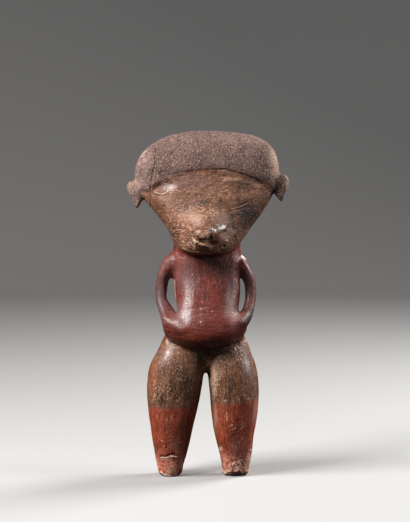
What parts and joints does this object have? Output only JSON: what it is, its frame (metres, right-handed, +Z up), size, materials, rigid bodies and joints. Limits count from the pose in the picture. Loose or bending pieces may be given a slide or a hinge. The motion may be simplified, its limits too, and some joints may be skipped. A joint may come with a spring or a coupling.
{
  "type": "standing terracotta figure",
  "caption": "Standing terracotta figure with a broad heart-shaped head, tab ears, hands on its belly and tapering legs.",
  "frame": {"origin": "middle of the bounding box, on the ground under the feet", "axes": "+Z up along the figure's height, the figure looks along -Y, +X to the right of someone who faces it"},
  "size_m": [0.113, 0.0612, 0.2395],
  "materials": {
    "clay": "low-fired clay, red and buff slips burnished to a soft gloss, matt and grainy hair"
  },
  "bodies": {
    "root": {"figure": "clay"}
  },
  "joints": []
}
